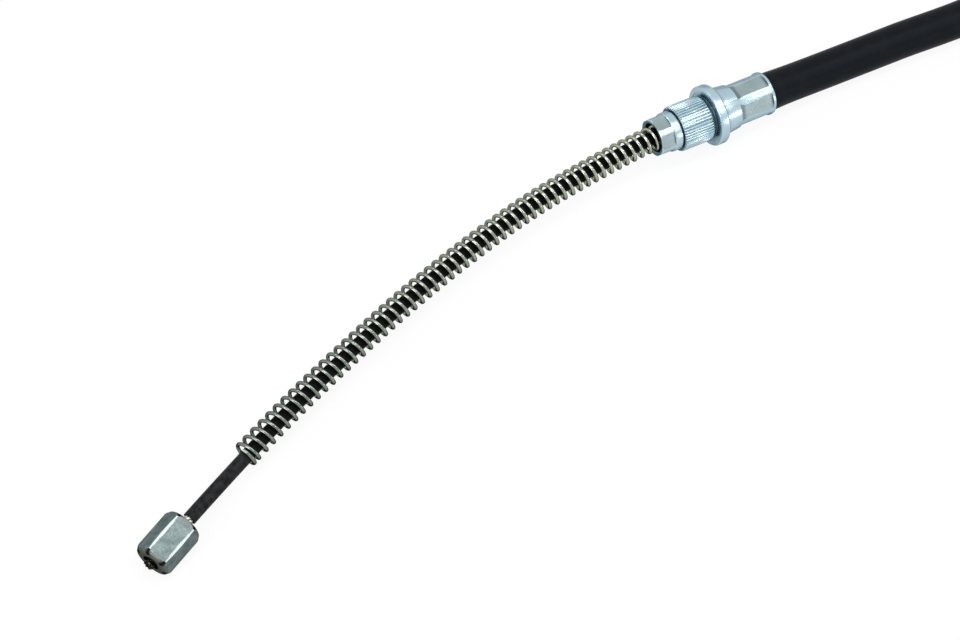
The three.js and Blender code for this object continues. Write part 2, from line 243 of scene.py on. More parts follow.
class Finish:
    """One procedural surface, built round a Principled shader."""

    def __init__(self, name, roughness, metallic=0.0, **fixed):
        self.material = bpy.data.materials.new(name)
        self.material.use_nodes = True
        self.tree = self.material.node_tree
        self.shader = self.tree.nodes["Principled BSDF"]
        self.set("Metallic", metallic)
        self.set("Roughness", roughness)
        for key, value in fixed.items():
            self.set(key.replace("_", " "), value)

    def set(self, socket, value):
        self.join(self.shader.inputs[socket], value)

    def join(self, socket, value):
        if isinstance(value, Wire):
            self.tree.links.new(value.socket, socket)
        else:
            socket.default_value = value

    def node(self, kind, settings=None, inputs=None, output=0):
        made = self.tree.nodes.new(kind)
        for key, value in (settings or {}).items():
            if key == "stops":
                for index, (place, shade) in enumerate(value):
                    if index < 2:
                        stop = made.color_ramp.elements[index]
                    else:
                        stop = made.color_ramp.elements.new(place)
                    stop.position = place
                    stop.color = shade
            else:
                setattr(made, key, value)
        for key, value in (inputs or {}).items():
            self.join(made.inputs[key], value)
        return Wire(self, made.outputs[output])

    def place(self):
        return self.node("ShaderNodeTexCoord", output="Object")

    def noise(self, scale, detail=3, stretch=(1, 1, 1), roughness=0.5, place=None):
        spot = place or self.place()
        spot = self.node("ShaderNodeMapping", {}, {"Vector": spot, "Scale": stretch})
        return self.node(
            "ShaderNodeTexNoise", {},
            {"Vector": spot, "Scale": scale, "Detail": detail, "Roughness": roughness},
        )

    def ramp(self, factor, *stops):
        grey = [(place, (shade, shade, shade, 1)) for place, shade in stops]
        return self.node("ShaderNodeValToRGB", {"stops": grey}, {0: factor})

    def blend(self, factor, first, second):
        return self.node(
            "ShaderNodeMix", {"data_type": "RGBA"}, {0: factor, 6: first, 7: second}, output=2,
        )

    def bump(self, height, depth, strength=1.0):
        self.set("Normal", self.node(
            "ShaderNodeBump", {}, {"Height": height, "Distance": depth, "Strength": strength},
        ))


def jacket_finish():
    """Black plastic with a low sheen, faint drawn lines along it and a few lighter scuffs."""
    finish = Finish("conduit_jacket", 0.42, Specular_IOR_Level=0.06)
    along = finish.node("ShaderNodeUVMap", {"uv_map": "grain"})
    drawn = finish.noise(2600, 2, (1, 0.03, 1), place=along)
    grain = finish.noise(5200, 2)
    scuff = finish.ramp(finish.noise(220, 5), (0.52, 0), (0.7, 1))
    finish.set("Base Color", finish.blend(
        scuff * 0.5, (0.0045, 0.006, 0.0085, 1), (0.0095, 0.0115, 0.015, 1),
    ))
    finish.set("Roughness", 0.36 + drawn * 0.1 + scuff * 0.08)
    finish.bump(drawn * 0.6 + grain * 0.4, 0.00003)
    return finish.material


jacket_start = fitting_at + cup_rear - 2 * mm
jacket_end = lever_fitting_at - lever_cup_length + 2 * mm
jacket_steps = np.linspace(jacket_start, jacket_end, 220)


def jacket_radius(distance):
    from_wheel = max(distance - jacket_start - 2 * mm, 0) / conduit_swell_length
    from_lever = max(jacket_end - 2 * mm - distance, 0) / conduit_swell_length
    swell = math.exp(-from_wheel ** 2) + math.exp(-from_lever ** 2)
    return conduit_diameter / 2 + conduit_swell * min(swell, 1)


conduit = new_piece(
    "conduit",
    tube_mesh(jacket_steps, [jacket_radius(d) for d in jacket_steps], 48),
    jacket_finish(),
)
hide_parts("conduit_jacket")

# Inner wire: a steel rope of strands laid round a core strand. It runs through the whole
# cable, and shows only at its cut tips and in the short bare gap behind each stop.
rope_diameter = 2.6 * mm
rope_strands = 7
rope_lay = 17 * mm
rope_shown = 20 * mm
tip_reach = 1.2 * mm
stop_length = 13.3 * mm
bare_length = 1.5 * mm


def winding_tree():
    """Wire wound round the route: each point moves off it by its own number of turns."""
    tree = bpy.data.node_groups.new("wound wire", "GeometryNodeTree")
    sockets = tree.interface
    sockets.new_socket("Geometry", in_out="OUTPUT", socket_type="NodeSocketGeometry")
    sockets.new_socket("Line", in_out="INPUT", socket_type="NodeSocketGeometry")
    sockets.new_socket("Coil radius", in_out="INPUT", socket_type="NodeSocketFloat")
    sockets.new_socket("Wire radius", in_out="INPUT", socket_type="NodeSocketFloat")
    sockets.new_socket("Wire sides", in_out="INPUT", socket_type="NodeSocketInt")
    sockets.new_socket("Finish", in_out="INPUT", socket_type="NodeSocketMaterial")

    def node(kind, settings=None, inputs=None):
        made = tree.nodes.new(kind)
        for key, value in (settings or {}).items():
            setattr(made, key, value)
        for key, value in (inputs or {}).items():
            if isinstance(value, bpy.types.NodeSocket):
                tree.links.new(value, made.inputs[key])
            else:
                made.inputs[key].default_value = value
        return made

    def stored(name, data_type):
        return node("GeometryNodeInputNamedAttribute", {"data_type": data_type}, {"Name": name})

    def math_node(operation, first, second=0.0):
        made = node("ShaderNodeMath", {"operation": operation}, {0: first, 1: second})
        return made.outputs[0]

    def scaled(vector, factor):
        made = node("ShaderNodeVectorMath", {"operation": "SCALE"}, {0: vector, "Scale": factor})
        return made.outputs[0]

    given = node("NodeGroupInput").outputs
    angle = math_node("MULTIPLY", stored("turns", "FLOAT").outputs[0], 2 * math.pi)
    across = math_node("MULTIPLY", math_node("COSINE", angle), given["Coil radius"])
    height = math_node("MULTIPLY", math_node("SINE", angle), given["Coil radius"])
    across = math_node("ADD", across, stored("sideways", "FLOAT").outputs[0])
    offset = node(
        "ShaderNodeVectorMath", {"operation": "ADD"}, {
            0: scaled(stored("left", "FLOAT_VECTOR").outputs[0], across),
            1: scaled(stored("up", "FLOAT_VECTOR").outputs[0], height),
        },
    ).outputs[0]
    moved = node("GeometryNodeSetPosition", {}, {"Geometry": given["Line"], "Offset": offset})
    line = node("GeometryNodeMeshToCurve", {}, {"Mesh": moved.outputs[0]})
    section = node(
        "GeometryNodeCurvePrimitiveCircle", {},
        {"Resolution": given["Wire sides"], "Radius": given["Wire radius"]},
    )
    wire = node("GeometryNodeCurveToMesh", {}, {
        "Curve": line.outputs[0], "Profile Curve": section.outputs[0], "Fill Caps": True,
    })
    real = node("GeometryNodeRealizeInstances", {}, {"Geometry": wire.outputs[0]})
    coloured = node(
        "GeometryNodeSetMaterial", {}, {"Geometry": real.outputs[0], "Material": given["Finish"]},
    )
    node("NodeGroupOutput", {}, {"Geometry": coloured.outputs[0]})
    return tree


def grown(name, mesh, tree, values):
    """The plain mesh that a tree makes from a mesh with these named values."""
    seed = bpy.data.objects.new(name, mesh)
    bpy.context.scene.collection.objects.link(seed)
    modifier = seed.modifiers.new(name, "NODES")
    modifier.node_group = tree
    for item in tree.interface.items_tree:
        if item.in_out == "INPUT" and item.name in values:
            modifier[item.identifier] = values[item.name]
    graph = bpy.context.evaluated_depsgraph_get()
    made = bpy.data.meshes.new_from_object(seed.evaluated_get(graph), depsgraph=graph)
    bpy.data.objects.remove(seed)
    return made


def wound_lines(lines):
    """Lines of (distance, turns, sideways) along the route, as one mesh for the winding tree."""
    spots, edges, turns, sideways, lefts, ups = [], [], [], [], [], []
    for line in lines:
        for index, (distance, turn, side) in enumerate(line):
            if index:
                edges.append((len(spots) - 1, len(spots)))
            left, up = route.axes(distance)[1:]
            spots.append(route.at(distance))
            turns.append(turn)
            sideways.append(side)
            lefts += list(left)
            ups += list(up)
    mesh = bpy.data.meshes.new("lines")
    mesh.from_pydata(spots, edges, [])
    for name, kind, field, values in (
        ("turns", "FLOAT", "value", turns),
        ("sideways", "FLOAT", "value", sideways),
        ("left", "FLOAT_VECTOR", "vector", lefts),
        ("up", "FLOAT_VECTOR", "vector", ups),
    ):
        mesh.attributes.new(name, kind, "POINT").data.foreach_set(field, values)
    return mesh


def joined(*meshes):
    """Several meshes of one piece as one mesh."""
    mesh_data = bmesh.new()
    for mesh in meshes:
        mesh_data.from_mesh(mesh)
    whole = bpy.data.meshes.new("joined")
    mesh_data.to_mesh(whole)
    mesh_data.free()
    return whole


def rope_finish():
    """Bare drawn steel, bright where the coating was stripped, burnt black-brown at its tips."""
    finish = Finish("rope_steel", 0.4, 1.0, Specular_Tint=(0.4, 0.4, 0.4, 1))
    stain = finish.ramp(finish.noise(900, 4), (0.35, 0), (0.62, 1))
    steel = finish.blend(stain, (0.62, 0.62, 0.58, 1), (0.34, 0.33, 0.3, 1))
    from_tips = [
        finish.node(
            "ShaderNodeVectorMath", {"operation": "DISTANCE"},
            {0: finish.place(), 1: route.at(tip)}, output=1,
        )
        for tip in (0, route.length)
    ]
    from_tip = finish.node("ShaderNodeMath", {"operation": "MINIMUM"}, dict(enumerate(from_tips)))
    burnt = finish.ramp(from_tip * 100, (0.3, 1), (0.8, 0))
    speck = finish.ramp(finish.noise(2600, 2), (0.56, 0), (0.64, 1))
    char = finish.blend(speck, (0.012, 0.011, 0.012, 1), (0.16, 0.15, 0.11, 1))
    finish.set("Base Color", finish.blend(burnt, steel, char))
    finish.set("Roughness", 0.34 + stain * 0.2)
    finish.bump(finish.noise(6000, 2), 0.00002)
    return finish.material


winding = winding_tree()
strand_radius = rope_diameter / 2 * 0.36
strand_circle = rope_diameter / 2 - strand_radius
strand_lines = []
for start, end in ((0, rope_shown), (route.length - rope_shown, route.length)):
    for strand in range(rope_strands - 1):
        distances = np.linspace(start, end, 60)
        strand_lines.append([
            (d, d / rope_lay + strand / (rope_strands - 1), 0) for d in distances
        ])
rope_steel = rope_finish()
strands = grown("strands", wound_lines(strand_lines), winding, {
    "Coil radius": strand_circle, "Wire radius": strand_radius, "Wire sides": 12,
    "Finish": rope_steel,
})
core_radius = rope_diameter / 2 * 0.62
tip_steps = [step * mm for step in (0.2, 0.3, 0.5, 0.8, 1.0, 1.15)]
tip_radii = [radius * mm for radius in (1.05, 1.45, 1.62, 1.6, 1.35)] + [core_radius]
middle = list(np.linspace(2 * mm, route.length - 2 * mm, 180))
core_steps = tip_steps + middle + [route.length - step for step in reversed(tip_steps)]
core_radii = tip_radii + [core_radius] * len(middle) + tip_radii[::-1]
core = tube_mesh(core_steps, core_radii, 24)
inner_wire = new_piece("inner_wire_rope", joined(core, strands), rope_steel)
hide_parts("inner_wire")

# Wire coating: black plastic extruded tightly over the rope, so that its strands show
# through as a faint twist. It is stripped back a little way behind each stop.
coating_diameter = 3.6 * mm


def coating_finish():
    """Black plastic with a fine matt grain and the faint twist of the strands below."""
    finish = Finish("wire_coating", 0.5, Specular_IOR_Level=0.06)
    place = finish.node("ShaderNodeUVMap", {"uv_map": "grain"})
    split = finish.node("ShaderNodeSeparateXYZ", {}, {0: place})
    along = finish.node("ShaderNodeSeparateXYZ", {}, {0: place}, output=1)
    twist_rate = 2 * math.pi * (rope_strands - 1)
    around_rate = twist_rate / (math.pi * coating_diameter)
    twist = finish.node(
        "ShaderNodeMath", {"operation": "SINE"},
        {0: split * around_rate - along * (twist_rate / rope_lay)},
    )
    grain = finish.noise(4200, 3)
    blotch = finish.noise(700, 4)
    blotched_tone = finish.blend(
        finish.ramp(blotch, (0.35, 0), (0.7, 1)),
        (0.007, 0.0075, 0.0085, 1), (0.026, 0.028, 0.029, 1),
    )
    # The coating turns darker from where the spring begins, and stays so to the lever end.
    from_spring_on = finish.ramp(along * 10, (0.37, 0), (0.385, 1))
    finish.set("Base Color", finish.blend(from_spring_on, blotched_tone, (0.0022, 0.0024, 0.003, 1)))
    finish.set("Roughness", 0.4 + grain * 0.22)
    finish.bump(twist * 0.25 + grain * 0.8, 0.00005)
    return finish.material


coating_start = tip_reach + stop_length + bare_length
coating_steps = np.linspace(coating_start, route.length - coating_start, 300)
coating = new_piece(
    "coated_wire",
    tube_mesh(coating_steps, [coating_diameter / 2] * len(coating_steps), 28),
    coating_finish(),
)
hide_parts("wire_coating")

# End stops: a zinc-plated steel slug on each end of the rope, squeezed between six crowned
# jaws, so that six flats stand out of its round body and fade towards its rounded ends.
stop_body = 10.6 * mm
stop_flats_middle = 9.55 * mm
stop_flats_end = 9.15 * mm
stop_bore = 3.2 * mm
stop_turn = math.radians(22)
flat_angles = [math.radians(90 + 60 * flat) for flat in range(6)]


def soften(profile, radius):
    """Each corner of a closed profile of (along, radius) pairs becomes a short curve."""
    soft = []
    count = len(profile)
    for index, corner in enumerate(profile):
        corner = Vector(corner)
        before = Vector(profile[index - 1]) - corner
        after = Vector(profile[(index + 1) % count]) - corner
        if before.length < 1e-7 or after.length < 1e-7:
            soft.append(tuple(corner))
            continue
        reach = min(radius, before.length * 0.45, after.length * 0.45)
        start = corner + before.normalized() * reach
        end = corner + after.normalized() * reach
        if before.angle(after) > math.radians(172):
            soft.append(tuple(corner))
            continue
        for t in (0, 0.25, 0.5, 0.75, 1):
            spot = start * (1 - t) ** 2 + corner * 2 * t * (1 - t) + end * t ** 2
            soft.append(tuple(spot))
    return soft


def turned_mesh(profile, columns=240, across=None, hidden=None):
    """A closed profile of (along, radius) pairs turned about X. across(along, radius, angle)
    gives the radius where flats cut in, and the attribute "pressed" marks where they do.
    hidden(along, radius, angle) gives the attribute shaded: painted shade for grooves, hollows and
    the stops' ends."""
    mesh_data = bmesh.new()
    lathe = mesh_data.loops.layers.uv.new("lathe")
    pressed = mesh_data.verts.layers.float.new("pressed")
    shaded = mesh_data.verts.layers.float.new("shaded")
    rows = []
    for along, radius in profile:
        row = []
        for column in range(columns):
            angle = 2 * math.pi * column / columns
            real = min(radius, across(along, radius, angle)) if across else radius
            vertex = mesh_data.verts.new((along, real * math.cos(angle), real * math.sin(angle)))
            vertex[pressed] = min((radius - real) / (0.03 * mm), 1)
            vertex[shaded] = hidden(along, radius, angle) if hidden else 0
            row.append(vertex)
        rows.append(row)
    way = 0
    for index, row in enumerate(rows):
        after_row = rows[(index + 1) % len(rows)]
        start = Vector(profile[index])
        end = Vector(profile[(index + 1) % len(rows)])
        step = (end - start).length
        for column in range(columns):
            after = (column + 1) % columns
            face = mesh_data.faces.new(
                (row[column], row[after], after_row[after], after_row[column])
            )
            around = 2 * math.pi / columns * 6 * mm
            spots = (
                (column * around, way), ((column + 1) * around, way),
                ((column + 1) * around, way + step), (column * around, way + step),
            )
            for loop, spot in zip(face.loops, spots):
                loop[lathe].uv = spot
        way += step
    bmesh.ops.recalc_face_normals(mesh_data, faces=mesh_data.faces)
    mesh = bpy.data.meshes.new("turned")
    mesh_data.to_mesh(mesh)
    mesh_data.free()
    return mesh


def to_flat(angle):
    """The angle to the middle of the nearest of six flats."""
    nearest = min(
        abs((angle - flat + math.pi) % (2 * math.pi) - math.pi) for flat in flat_angles
    )
    return math.cos(nearest)


def stop_across(along, radius, angle):
    if radius < stop_bore:
        return radius
    from_middle = 2 * along / stop_length - 1
    flats = stop_flats_middle + (stop_flats_end - stop_flats_middle) * from_middle ** 2
    return flats / 2 / to_flat(angle)


def stop_end_shade(along, radius, angle):
    """Painted shade at both ends: olive-grey on the dished faces and the flats' rims,
    near black in the mouth of the bore and on the rims beside the lands.
    """
    from_end = min(along, stop_length - along)
    near_land = min(max((0.97 - to_flat(angle)) / 0.08, 0), 1)
    if from_end > (0.8 + 0.4 * near_land) * mm:
        return 0
    if radius < 2.3 * mm:
        return 1
    if radius < 3.6 * mm:
        return 0.5
    return 0.5 + 0.5 * near_land


def stop_finish():
    """Dull zinc over pressed steel: grey-green flats with fine drag marks along them, lighter
    lands between them with a painted highlight, and ends darkened with painted shade."""
    finish = Finish("stop_zinc", 0.36, 1.0, Specular_Tint=(0.25, 0.26, 0.25, 1))
    end_shade = finish.node("ShaderNodeAttribute", {"attribute_name": "shaded"}, output=2)
    along = finish.node("ShaderNodeUVMap", {"uv_map": "lathe"})
    pressed = finish.node("ShaderNodeAttribute", {"attribute_name": "pressed"}, output=2)
    cloud = finish.noise(420, 5)
    fine = finish.noise(3200, 3, (1, 0.35, 1), place=along)
    flat_colour = finish.blend(
        finish.ramp(cloud, (0.38, 0), (0.62, 1)), (0.125, 0.16, 0.163, 1), (0.2, 0.245, 0.25, 1),
    )
    dent = finish.ramp(finish.noise(300, 3), (0.66, 0), (0.72, 0.6))
    drag = finish.ramp(fine, (0.4, 0), (0.62, 0.4))
    grained = finish.blend(drag, flat_colour, (0.09, 0.115, 0.115, 1))
    marked = finish.blend(dent, grained, (0.07, 0.085, 0.09, 1))
    # The lands keep the unpressed zinc skin, lighter than the flats, and lighter still as a
    # painted highlight.
    skin = finish.blend(pressed, (0.62, 0.7, 0.7, 1), marked)
    # Painted shade for the ends: olive-grey, going near black in the bore and beside the lands.
    end_shade_colour = finish.blend(
        finish.ramp(end_shade, (0.55, 0), (0.95, 1)), (0.14, 0.15, 0.13, 1), (0.01, 0.013, 0.018, 1),
    )
    finish.set("Base Color", finish.blend(finish.ramp(end_shade, (0.1, 0), (0.45, 1)), skin, end_shade_colour))
    finish.set("Roughness", 0.3 + pressed * 0.1 + fine * 0.12)
    finish.bump(fine * 0.5 + cloud * 0.5, 0.00004)
    return finish.material


def stop_mesh():
    face, shoulder, body = 3.4 * mm, 4.6 * mm, stop_body / 2
    end = stop_length
    mouth, bore = 2.1 * mm, stop_bore / 2
    outline = [(0, face), (0.3 * mm, shoulder), (0.64 * mm, 4.82 * mm), (1.4 * mm, body)]
    outline += [(end * share, body) for share in np.linspace(0.16, 0.84, 18)]
    outline += [(end - 1.4 * mm, body), (end - 0.64 * mm, 4.82 * mm)]
    outline += [(end - 0.3 * mm, shoulder), (end, face)]
    outline += [(end, mouth), (end - 0.4 * mm, bore), (0.4 * mm, bore), (0, mouth)]
    return turned_mesh(soften(outline, 0.35 * mm), across=stop_across, hidden=stop_end_shade)


stop_zinc = stop_finish()
for name, node, distance, backwards, turn in (
    ("wheel_stop", "end_stop", tip_reach, False, stop_turn),
    ("lever_stop", "lever_end_stop", route.length - tip_reach, True, 0),
):
    mesh = stop_mesh()
    mesh.transform(route.place(distance, backwards, turn))
    stop = new_piece(name, mesh, stop_zinc)
    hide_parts(node)

# Wheel-end fitting: one zinc-plated steel turning. Its nose is crimped to six flats round
# the spring's mouth, a knurled barrel presses into the backing plate up to the flange, and
# the cup behind is pressed with six short flats on to the conduit.
nose_flats = 10 * mm
nose_flats_end = -12.8 * mm
cup_flats = 11.4 * mm
cup_flats_front = 8 * mm
cup_flats_rear = 18.4 * mm
fitting_outline = [
    (-17, 4.35), (-17, 5.1), (-16.7, 5.4), (-15.5, 5.4), (-14, 5.4), (-12.85, 5.4), (-12.8, 5.4),
    (-12.5, 5.5), (-10.5, 5.5), (-10.45, 5.1), (-10.2, 5.1), (-10.2, 6.05), (-0.8, 6.05),
    (-0.8, 5.6), (0.2, 5.6), (0.2, 6.9), (0, 6.9), (0, 8.15), (0.3, 8.45), (2.45, 8.45),
    (2.75, 8.15), (2.75, 6.8), (3.1, 6.6), (4.4, 6.58), (5.2, 6.56), (7.95, 6.25), (8, 6.24),
    (8.05, 6.23), (8.9, 6.15), (9.7, 6.05), (13, 6.05), (16, 6.08), (17.4, 6.09), (18.3, 6.1),
    (18.4, 6.1), (19.1, 6.08), (19.4, 5.75), (19.4, 5.2), (5.2, 5.2), (5.2, 3), (-10.5, 3),
    (-10.5, 4.05), (-16.7, 4.05),
]


def fitting_across(along, radius, angle):
    if radius < 4.9 * mm:
        return radius
    if along <= nose_flats_end:
        return nose_flats / 2 / to_flat(angle)
    if cup_flats_front < along < cup_flats_rear and radius > 5.4 * mm:
        return cup_flats / 2 / to_flat(angle)
    return radius


def fitting_shade(along, radius, angle):
    """Painted shade in the bores, the knurl's roots, the corner behind the flange and the end
    walls of the cup's flats, and painted shade with oil and grime in the grooves before and behind
    the knurl."""
    if radius < 5 * mm:
        return 1
    if knurl_front < along < knurl_rear and radius > 6 * mm:
        return 0.5
    if -10.5 * mm < along < 0.25 * mm and radius < 6.1 * mm:
        return 1
    if 2.8 * mm < along < 3.6 * mm:
        return 0.45
    pressed_in = fitting_across(along, radius, angle) < radius - 0.05 * mm
    at_wall = along < cup_flats_front + 1.1 * mm or along > cup_flats_rear - 0.7 * mm
    if pressed_in and along > 7 * mm and at_wall:
        return 0.7
    return 0


knurl_front = -10.2 * mm
knurl_rear = -0.8 * mm
knurl_radius = 6.4 * mm
knurl_root = 6.0 * mm
knurl_teeth = 48
knurl_chamfer = 0.5 * mm


def rib_mesh():
    """One tooth of the knurl, with a rounded crest and both ends sloped down."""
    flank = [(-0.31, 0), (-0.24, 0.55), (-0.15, 0.95)]
    section = flank + [(0, 1)] + [(-side, height) for side, height in reversed(flank)]
    stations = [
        (knurl_front, 0), (knurl_front + knurl_chamfer, 1),
        (knurl_rear - knurl_chamfer, 1), (knurl_rear, 0),
    ]
    spots, faces = [], []
    for along, share in stations:
        for side, height in section:
            rise = (knurl_radius - knurl_root) * height * share
            spots.append((along, side * mm, knurl_root + rise))
    width = len(section)
    for station in range(len(stations) - 1):
        for side in range(width - 1):
            corner = station * width + side
            faces.append((corner, corner + 1, corner + width + 1, corner + width))
        first = station * width
        last = first + width - 1
        faces.append((last, first, first + width, last + width))
    mesh_data = bmesh.new()
    mesh_data.loops.layers.uv.new("lathe")
    mesh_data.verts.layers.float.new("pressed")
    shaded = mesh_data.verts.layers.float.new("shaded")
    vertices = [mesh_data.verts.new(spot) for spot in spots]
    # Painted shade, darkest at the root of each tooth.
    for vertex, spot in zip(vertices, spots):
        vertex[shaded] = 0.55 - 0.55 * min((spot[2] - knurl_root) / (0.3 * mm), 1)
    for face in faces:
        mesh_data.faces.new([vertices[corner] for corner in face])
    mesh_data.faces.new(vertices[:width])
    mesh_data.faces.new(vertices[-width:])
    bmesh.ops.recalc_face_normals(mesh_data, faces=mesh_data.faces)
    mesh = bpy.data.meshes.new("rib")
    mesh_data.to_mesh(mesh)
    mesh_data.free()
    return mesh


def rib_ring_tree():
    """One rib repeated evenly round the X axis."""
    tree = bpy.data.node_groups.new("ribs round a barrel", "GeometryNodeTree")
    sockets = tree.interface
    sockets.new_socket("Geometry", in_out="OUTPUT", socket_type="NodeSocketGeometry")
    sockets.new_socket("Rib", in_out="INPUT", socket_type="NodeSocketGeometry")
    sockets.new_socket("Ribs", in_out="INPUT", socket_type="NodeSocketInt")
    sockets.new_socket("Finish", in_out="INPUT", socket_type="NodeSocketMaterial")
    link = tree.links.new
    given = tree.nodes.new("NodeGroupInput").outputs
    points = tree.nodes.new("GeometryNodePoints")
    link(given["Ribs"], points.inputs["Count"])
    share = tree.nodes.new("ShaderNodeMath")
    share.operation = "DIVIDE"
    link(tree.nodes.new("GeometryNodeInputIndex").outputs[0], share.inputs[0])
    link(given["Ribs"], share.inputs[1])
    angle = tree.nodes.new("ShaderNodeMath")
    angle.operation = "MULTIPLY"
    angle.inputs[1].default_value = 2 * math.pi
    link(share.outputs[0], angle.inputs[0])
    turn = tree.nodes.new("ShaderNodeCombineXYZ")
    link(angle.outputs[0], turn.inputs["X"])
    placed = tree.nodes.new("GeometryNodeInstanceOnPoints")
    link(points.outputs[0], placed.inputs["Points"])
    link(given["Rib"], placed.inputs["Instance"])
    link(turn.outputs[0], placed.inputs["Rotation"])
    real = tree.nodes.new("GeometryNodeRealizeInstances")
    link(placed.outputs[0], real.inputs[0])
    coloured = tree.nodes.new("GeometryNodeSetMaterial")
    link(real.outputs[0], coloured.inputs["Geometry"])
    link(given["Finish"], coloured.inputs["Material"])
    link(coloured.outputs[0], tree.nodes.new("NodeGroupOutput").inputs[0])
    return tree


def zinc_finish():
    """Bright blue-white zinc over turned steel: fine turning lines round it, a soft cloudy
    tone, duller grey-green where the crimping dies pressed, and painted shade in its hollows."""
    finish = Finish("bright_zinc", 0.26, 1.0, Specular_Tint=(0.4, 0.45, 0.48, 1))
    shade_mask = finish.node("ShaderNodeAttribute", {"attribute_name": "shaded"}, output=2)
    lathe = finish.node("ShaderNodeUVMap", {"uv_map": "lathe"})
    pressed = finish.node("ShaderNodeAttribute", {"attribute_name": "pressed"}, output=2)
    lines = finish.noise(5200, 2, (0.03, 1, 1), place=lathe)
    cloud = finish.noise(260, 4)
    fine = finish.noise(3000, 3)
    bright = finish.blend(cloud, (0.36, 0.49, 0.55, 1), (0.48, 0.63, 0.7, 1))
    dull = finish.blend(cloud, (0.19, 0.245, 0.25, 1), (0.32, 0.385, 0.385, 1))
    skin = finish.blend(pressed * 0.85, bright, dull)
    # Painted shade darkens the bores, grooves, knurl roots, the corner behind the flange and the
    # cup flats' end walls to blue-grey; in the grooves it also stands for oil and grime.
    finish.set("Base Color", finish.blend(shade_mask * 0.8, skin, (0.05, 0.08, 0.1, 1)))
    finish.set("Roughness", 0.2 + pressed * 0.14 + lines * 0.14)
    finish.bump(lines * 0.6 + fine * pressed, 0.00003)
    return finish.material


bright_zinc = zinc_finish()
outline = [(along * mm, radius * mm) for along, radius in fitting_outline]
body = turned_mesh(soften(outline, 0.22 * mm), across=fitting_across, hidden=fitting_shade)
ribs = grown("ribs", rib_mesh(), rib_ring_tree(), {"Ribs": knurl_teeth, "Finish": bright_zinc})
mesh = joined(body, ribs)
mesh.transform(route.place(fitting_at))
wheel_fitting = new_piece("knurled_fitting", mesh, bright_zinc)
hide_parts("wheel_end_fitting")

# Return spring: zinc-plated spring wire wound open over the coated wire, with a closed coil
# at each end. It pushes the stop away from the fitting, and its last coils sit in the nose.
spring_diameter = 7.15 * mm
spring_wire = 1 * mm
spring_start = 37.6 * mm
spring_end = fitting_at - 10.5 * mm - 0.3 * mm - spring_wire / 2
spring_pitch_free = 2.845 * mm
spring_pitch_seat = 2.457 * mm
closed_pitch = 1.3 * mm
closed_turns = 1
spring_side_free = 0.45 * mm
spring_side_seat = -0.15 * mm
spring_phase = 0.25

closed_length = closed_pitch * closed_turns
open_length = spring_end - spring_start - 2 * closed_length
pitch_change = spring_pitch_free - spring_pitch_seat
open_turns = open_length / pitch_change * math.log(spring_pitch_free / spring_pitch_seat)
spring_turns = open_turns + 2 * closed_turns


def spring_distance(turn):
    if turn < closed_turns:
        return spring_start + turn * closed_pitch
    if turn > closed_turns + open_turns:
        return spring_end - (spring_turns - turn) * closed_pitch
    fall = pitch_change / open_length
    opened = spring_pitch_free / fall * (1 - math.exp(-fall * (turn - closed_turns)))
    return spring_start + closed_length + opened


def spring_finish():
    """Grey-green zinc on spring wire, yellower towards the fitting, with fine drawn lines."""
    finish = Finish("spring_zinc", 0.3, 1.0, Specular_Tint=(0.04, 0.04, 0.03, 1))
    across = finish.node("ShaderNodeSeparateXYZ", {}, {0: finish.place()})
    yellow = finish.node("ShaderNodeMapRange", {}, {
        "Value": across, "From Min": -0.12, "From Max": 0.0, "To Min": 0.0, "To Max": 0.9,
    })
    cloud = finish.noise(500, 4)
    colour = finish.blend(yellow, (0.2, 0.235, 0.21, 1), (0.47, 0.5, 0.4, 1))
    finish.set("Base Color", finish.blend(cloud * 0.4, colour, (0.12, 0.13, 0.1, 1)))
    finish.set("Roughness", 0.1 + finish.noise(2500, 3) * 0.1)
    finish.bump(finish.noise(4000, 2), 0.00002)
    return finish.material


spring_line = []
for turn in np.linspace(0, spring_turns, int(spring_turns * 36)):
    distance = spring_distance(turn)
    left_share = (spring_end - distance) / (spring_end - spring_start)
    side = spring_side_seat + (spring_side_free - spring_side_seat) * left_share ** 2
    spring_line.append((distance, spring_phase + turn, side))
spring_zinc = spring_finish()
coils = grown("coils", wound_lines([spring_line]), winding, {
    "Coil radius": (spring_diameter - spring_wire) / 2, "Wire radius": spring_wire / 2,
    "Wire sides": 16, "Finish": spring_zinc,
})
spring = new_piece("return_spring_coils", coils, spring_zinc)
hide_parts("return_spring")

# Lever-end fitting: a plain zinc-plated turning with a crimped cup, a flange that meets the
# bracket, and a barrel through the bracket's hole with a groove for the snap ring.
lever_outline = [
    (-15, 5.2), (-15, 5.75), (-14.7, 6.05), (-14.05, 6.05), (-14, 6.05), (-13.95, 6.05),
    (-10, 6.05), (-4.55, 6.05), (-4.5, 6.05), (-4.45, 6.05), (0, 6.05), (0, 7.7), (0.3, 8),
    (2.7, 8), (3, 7.7), (3, 6.9), (2.8, 6.9), (2.8, 6.3), (4.6, 6.3), (4.6, 5.2), (6.4, 5.2),
    (6.4, 6.3), (13.2, 6.3), (14, 5.5), (14, 3.3), (13.7, 3), (0, 3), (0, 5.2),
]


def lever_across(along, radius, angle):
    if -14 * mm < along < -4.5 * mm and radius > 5.4 * mm:
        return cup_flats / 2 / to_flat(angle)
    return radius


outline = [(along * mm, radius * mm) for along, radius in lever_outline]
mesh = turned_mesh(soften(outline, 0.2 * mm), across=lever_across)
mesh.transform(route.place(lever_fitting_at))
lever_fitting = new_piece("lever_fitting", mesh, bright_zinc)
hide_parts("lever_end_fitting")

# Snap ring: an open ring of dark spring steel that snaps into the barrel's groove.
ring_inner = 5.5 * mm
ring_outer = 6.6 * mm
ring_front = 4.9 * mm
ring_thickness = 1.2 * mm
ring_opening = math.radians(50)


